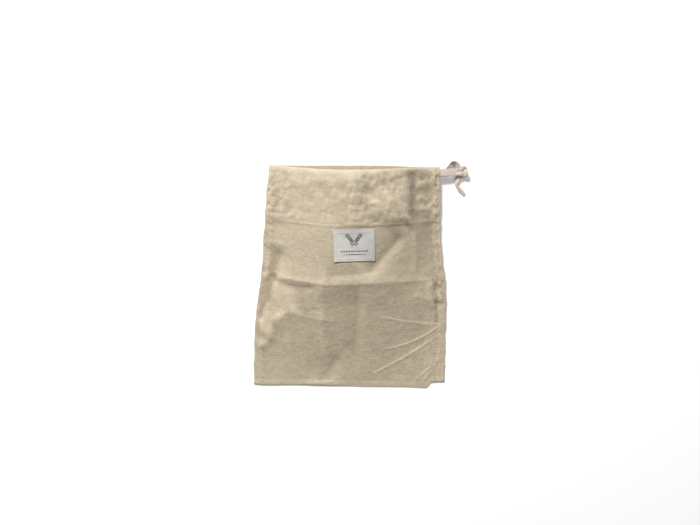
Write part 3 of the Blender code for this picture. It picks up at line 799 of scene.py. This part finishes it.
def tape_rows():
    """Knot, front strand, front casing, round the left seam, back casing, back strand, knot."""
    front_run = casing_rows(front_height, front_lip_at, -1.0, 240)
    back_run = casing_rows(back_height, back_lip_at, 1.0, 240)
    top, bottom = front_run[0], back_run[0]
    centre, radius = (top + bottom) / 2.0, (top - bottom) / 2.0
    angles = np.pi * np.arange(1, 9) / 9.0
    reach = np.array([-2.2, 0.0, 0.0])
    bend = np.array([centre + radius * np.cos(a) + reach * np.sin(a) for a in angles])
    return np.concatenate([strand_rows(FRONT_STRAND, 36)[::-1], front_run[::-1], bend,
                           back_run, strand_rows(BACK_STRAND, 60)])


def tape_object():
    """The tape's sheet along tape_rows, with its middle line and its length in metres."""
    rows = tape_rows()
    middle = rows[:, len(TAPE_ACROSS) // 2]
    along = length_along(middle)
    uv = np.stack(np.broadcast_arrays(TAPE_ACROSS * TAPE_WIDTH, along[:, None]), axis=-1) * MM
    item = grid_mesh("drawstring_tape", rows, uv)
    return thicken(item, TAPE_THICK), middle * MM, along[-1] * MM


def knot_piece():
    """The overhand knot: folded tape that follows a tight trefoil, pressed flat.

    The middle line is (sin t + 2 sin 2t, cos t - 2 cos 2t, - sin 3t), scaled.
    """
    low, high = (np.array(corner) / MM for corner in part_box("knot"))
    centre = (low + high) / 2.0
    t = np.linspace(0.0, 2.0 * np.pi, 241)[:-1]
    curve = np.stack([np.sin(t) + 2.0 * np.sin(2.0 * t), np.cos(t) - 2.0 * np.cos(2.0 * t),
                      -np.sin(3.0 * t)], axis=-1)
    turned = np.stack([curve[:, 0] * 0.85 - curve[:, 1] * 0.5, curve[:, 0] * 0.5 + curve[:, 1] * 0.85,
                       curve[:, 2]], axis=-1)
    route = centre + turned * np.array(KNOT_SCALE)
    width = 9.2 + 0.9 * np.sin(5.0 * t + 1.0)
    height = 4.0 + 0.5 * np.cos(4.0 * t)
    twist = 0.55 * np.sin(3.0 * t + 0.4)
    grid = tube_grid(route, width, height, twist, 32, 0.07, 6)
    grid[..., 2] = np.maximum(grid[..., 2], KNOT_LOWEST)
    return tube_object("tape_knot", grid, length_along(route)[-1], joined=True)


def tail_piece():
    """The tape's free end: folded lengthways and twisted, drawn in at both ends."""
    count = 90
    route, twist = smooth_route(TAIL, count)
    s = np.linspace(0.0, 1.0, count)
    ends = rounded(s, 0.03) * rounded(1.0 - s, 0.02)
    width = (7.4 - 2.4 * s + 0.4 * np.sin(11.0 * s)) * np.maximum(ends, 0.02)
    height = (2.6 - 1.0 * s + 1.6 * near(s, 0.42, 0.16)) * np.maximum(ends, 0.02)
    grid = tube_grid(route, width, height, twist, 24, 0.10, 4)
    grid[..., 2] = np.maximum(grid[..., 2], TAIL_LOWEST)
    return tube_object("tape_tail_end", grid, 45.0)


tape, tape_path, tape_length = tape_object()
knot = knot_piece()
tail = tail_piece()


# -------------------------------------- materials
class Nodes:
    """Short calls to build a material's nodes."""

    def __init__(self, name):
        self.material = bpy.data.materials.new(name)
        self.material.use_nodes = True
        self.tree = self.material.node_tree
        self.shader = self.tree.nodes["Principled BSDF"]

    def add(self, kind, settings=None, **inputs):
        """A node; an input's name has underscores for spaces, or is its number."""
        node = self.tree.nodes.new(kind)
        for key, value in (settings or {}).items():
            setattr(node, key, value)
        for key, value in inputs.items():
            self.put(node, key.replace("_", " "), value)
        return node

    def put(self, node, key, value):
        socket = node.inputs[int(key) if key.isdigit() else key]
        if isinstance(value, bpy.types.NodeSocket):
            self.tree.links.new(value, socket)
        else:
            socket.default_value = value

    def math(self, operation, a, b=0.0):
        return self.add("ShaderNodeMath", {"operation": operation}, **{"0": a, "1": b}).outputs[0]

    def mapped(self, vector, scale):
        return self.add("ShaderNodeMapping", Vector=vector, Scale=scale).outputs[0]

    def noise(self, vector, scale, detail, roughness=0.5):
        return self.add("ShaderNodeTexNoise", Vector=vector, Scale=scale, Detail=detail,
                        Roughness=roughness).outputs["Fac"]

    def attribute(self, name):
        return self.add("ShaderNodeAttribute", {"attribute_name": name}).outputs["Fac"]

    def mix(self, factor, a, b, blend="MIX"):
        """A colour that a factor takes from a to b."""
        node = self.add("ShaderNodeMix", {"data_type": "RGBA", "blend_type": blend})
        for key, value in (("0", factor), ("6", a), ("7", b)):
            self.put(node, key, (*value, 1.0) if isinstance(value, tuple) else value)
        return node.outputs[2]

    def shaded(self, tint, factor, low, high):
        """A tint times the colour that a factor takes from low to high."""
        return self.mix(1.0, tint, self.mix(factor, low, high), "MULTIPLY")

    def scaled(self, value, low, high):
        """A value from 0 to 1 moved to low to high."""
        return self.add("ShaderNodeMapRange", Value=value, To_Min=low, To_Max=high).outputs[0]

    def bump(self, height, distance, strength, under=None):
        """A normal that a height bends, over the normal under it."""
        node = self.add("ShaderNodeBump", Height=height, Distance=distance, Strength=strength)
        if under is not None:
            self.put(node, "Normal", under)
        return node.outputs[0]

    def finish(self, **inputs):
        """Fill the shader's own sockets and give the material back."""
        for key, value in inputs.items():
            self.put(self.shader, key.replace("_", " "), value)
        return self.material

    def cloth_uv(self):
        return self.add("ShaderNodeUVMap", {"uv_map": "cloth"}).outputs[0]


def weave_height(n, uv, pitch, irregular):
    """Plain weave: the higher of two sets of round yarns, each going over and under."""
    wobble = n.noise(uv, 260.0, 2.0)
    parts = n.add("ShaderNodeSeparateXYZ", Vector=uv)
    shift = n.math("MULTIPLY", n.math("SUBTRACT", wobble, 0.5), irregular)
    turn = np.pi / pitch
    warp_at = n.math("ADD", n.math("MULTIPLY", parts.outputs[0], turn), shift)
    weft_at = n.math("ADD", n.math("MULTIPLY", parts.outputs[1], turn), shift)
    warp, weft = n.math("SINE", warp_at), n.math("SINE", weft_at)
    over = n.math("MULTIPLY", n.math("COSINE", warp_at), n.math("COSINE", weft_at))
    warp_yarn = n.math("ADD", n.math("ABSOLUTE", warp), n.math("MULTIPLY", over, 0.5))
    weft_yarn = n.math("SUBTRACT", n.math("ABSOLUTE", weft), n.math("MULTIPLY", over, 0.5))
    return n.math("MAXIMUM", warp_yarn, weft_yarn)


def linen_material():
    """Natural flax linen: plain weave with thick and thin yarns and flecks, with painted highlights along
    the creases and on ridges and painted shade in hollows.
    """
    n = Nodes("natural_linen")
    uv = n.cloth_uv()
    weave = weave_height(n, uv, 0.00082, 1.6)
    weft_slub = n.noise(n.mapped(uv, (55.0, 1500.0, 1.0)), 1.0, 3.0)
    warp_slub = n.noise(n.mapped(uv, (1500.0, 45.0, 1.0)), 1.0, 3.0)
    broad = n.noise(uv, 22.0, 4.0)
    patch = n.noise(uv, 120.0, 4.0, 0.6)
    yarn = n.math("ADD", weft_slub, warp_slub)
    tint = n.mix(n.math("MULTIPLY", yarn, 0.5), (0.330, 0.265, 0.182), (0.700, 0.615, 0.470))
    tint = n.shaded(tint, broad, (0.93, 0.93, 0.92), (1.06, 1.05, 1.03))
    tint = n.shaded(tint, patch, (0.82, 0.81, 0.79), (1.18, 1.18, 1.18))
    tint = n.shaded(tint, weave, (0.80, 0.78, 0.74), (1.06, 1.06, 1.06))
    # painted highlight: a pale colour mixed in along the fan creases
    tint = n.mix(n.math("MULTIPLY", n.attribute("crease_highlight"), 0.34), tint, (0.72, 0.65, 0.53))
    # painted shade in hollows and painted highlight on ridges
    tint = n.shaded(tint, n.attribute("relief_shade"), (0.78, 0.77, 0.75), (1.22, 1.22, 1.23))
    crumple = n.bump(patch, 0.0022, 0.7, n.bump(yarn, 0.0007, 0.8))
    return n.finish(Base_Color=tint, Roughness=n.scaled(weave, 0.95, 0.80), Sheen_Weight=0.10,
                    Sheen_Roughness=0.5, Specular_IOR_Level=0.25,
                    Normal=n.bump(weave, 0.00022, 0.8, crumple))


def label_material():
    """Off-white damask: fine close weave."""
    n = Nodes("label_cloth")
    uv = n.cloth_uv()
    weave = weave_height(n, uv, 0.00038, 0.4)
    mottle = n.noise(uv, 90.0, 4.0)
    tint = n.mix(mottle, (0.520, 0.510, 0.475), (0.680, 0.668, 0.628))
    tint = n.shaded(tint, weave, (0.86, 0.86, 0.85), (1.04, 1.04, 1.04))
    return n.finish(Base_Color=tint, Roughness=n.scaled(weave, 0.85, 0.65), Sheen_Weight=0.05,
                    Specular_IOR_Level=0.3,
                    Normal=n.bump(weave, 0.00012, 0.8, n.bump(mottle, 0.0006, 0.4)))


def yarn_material(name, low, high, pitch, roughness):
    """Twisted yarn: fine ribs that slant across it, mottled between two colours."""
    n = Nodes(name)
    place = n.add("ShaderNodeTexCoord").outputs["Object"]
    mottle = n.noise(place, 420.0, 3.0)
    ribs = n.add("ShaderNodeTexWave", {"wave_type": "BANDS", "bands_direction": "DIAGONAL"},
                 Vector=place, Scale=2.0 * np.pi / (20.0 * pitch), Distortion=1.5, Detail=1.0)
    rib = ribs.outputs["Fac"]
    tint = n.shaded(n.mix(mottle, low, high), rib, (0.82, 0.81, 0.80), (1.05, 1.05, 1.05))
    return n.finish(Base_Color=tint, Roughness=n.scaled(mottle, roughness, roughness - 0.12),
                    Sheen_Weight=0.12, Specular_IOR_Level=0.25, Normal=n.bump(rib, pitch * 0.25, 0.7))


def tape_material():
    """Cream cotton tape: a herringbone of fine slanting ribs that follows the tape."""
    n = Nodes("cotton_tape")
    uv = n.cloth_uv()
    parts = n.add("ShaderNodeSeparateXYZ", Vector=uv)
    stripe = n.math("PINGPONG", parts.outputs[0], 0.002)
    slant = n.math("ADD", parts.outputs[1], stripe)
    rib = n.math("ABSOLUTE", n.math("SINE", n.math("MULTIPLY", slant, np.pi / 0.0007)))
    mottle = n.noise(uv, 260.0, 4.0)
    tint = n.mix(mottle, (0.560, 0.470, 0.395), (0.740, 0.650, 0.565))
    tint = n.shaded(tint, rib, (0.86, 0.85, 0.83), (1.05, 1.05, 1.05))
    return n.finish(Base_Color=tint, Roughness=n.scaled(mottle, 0.95, 0.8), Sheen_Weight=0.15,
                    Specular_IOR_Level=0.25, Normal=n.bump(rib, 0.00018, 0.8))


def floor_material():
    """Smooth pale paper."""
    n = Nodes("pale_floor")
    place = n.add("ShaderNodeTexCoord").outputs["Object"]
    fibre = n.noise(place, 60.0, 4.0)
    tint = n.mix(fibre, (0.905, 0.905, 0.905), (0.915, 0.915, 0.915))
    return n.finish(Base_Color=tint, Roughness=0.9, Specular_IOR_Level=0.1,
                    Emission_Color=(1.0, 1.0, 1.0, 1.0), Emission_Strength=0.15)


linen = linen_material()
thread = yarn_material("linen_thread", (0.50, 0.42, 0.31), (0.66, 0.58, 0.46), 0.0004, 0.9)
label_cloth = label_material()
label_thread = yarn_material("label_thread", (0.50, 0.48, 0.44), (0.66, 0.64, 0.60), 0.0003, 0.85)
dark_yarn = yarn_material("dark_yarn", (0.055, 0.05, 0.045), (0.12, 0.11, 0.10), 0.0003, 0.85)
cotton = tape_material()


# -------------------------------------- frame calls
PIECES = [
    # piece, its material, its slot and the frame's nodes that it stands for
    (front, linen, "linen", ["front_panel"]),
    (back, linen, "linen", ["back_panel"]),
    (casing_stitching, thread, "linen", []),
    (hem_stitching, thread, "linen", []),
    (label, label_cloth, "label", ["label"]),
    (motif, dark_yarn, "label", []),
    (label_stitching, label_thread, "label", []),
    (tape, cotton, "tape", ["drawstring"]),
    (knot, cotton, "tape", ["knot"]),
    (tail, cotton, "tape", ["tape_tail"]),
]
for piece, material, slot, nodes in PIECES:
    piece.data.materials.append(material)
    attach(piece, "root")
    if nodes:
        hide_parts(*nodes)


# -------------------------------------- floor, lights and camera
def floor_object():
    """A wide level sheet of paper under the bag."""
    bpy.ops.mesh.primitive_plane_add(size=6.0, location=(0.0, 0.0, 0.0))
    floor = bpy.context.object
    floor.name = "floor"
    floor.data.materials.append(floor_material())


def area_light(name, place, size, power):
    """A round soft light that looks at the bag's middle."""
    light = bpy.data.lights.new(name, "AREA")
    light.shape, light.size, light.energy = "DISK", size, power
    item = bpy.data.objects.new(name, light)
    bpy.context.collection.objects.link(item)
    item.location = place
    x, y, z = place
    item.rotation_euler = (np.arctan2(np.hypot(x, y), z), 0.0, np.arctan2(-y, -x) - np.pi / 2.0)


def studio():
    """A soft key from the upper left, a weak fill and an even pale surround."""
    area_light("key", (-0.68, 1.76, 1.95), 0.6, 86.0)
    area_light("fill", (0.9, -0.6, 1.8), 1.2, 3.0)
    world = bpy.data.worlds.new("surround")
    world.use_nodes = True
    sky = world.node_tree.nodes["Background"]
    sky.inputs["Color"].default_value = (1.0, 1.0, 1.0, 1.0)
    sky.inputs["Strength"].default_value = 0.26
    bpy.context.scene.world = world
    bpy.context.scene.view_settings.view_transform = "Standard"


def camera():
    """Straight down over a point just above the bag's middle."""
    data = bpy.data.cameras.new("camera")
    data.sensor_width, data.lens = 36.0, 42.8
    item = bpy.data.objects.new("camera", data)
    bpy.context.collection.objects.link(item)
    item.location = (0.0, 0.0213, 1.3)
    bpy.context.scene.camera = item


floor_object()
studio()
camera()
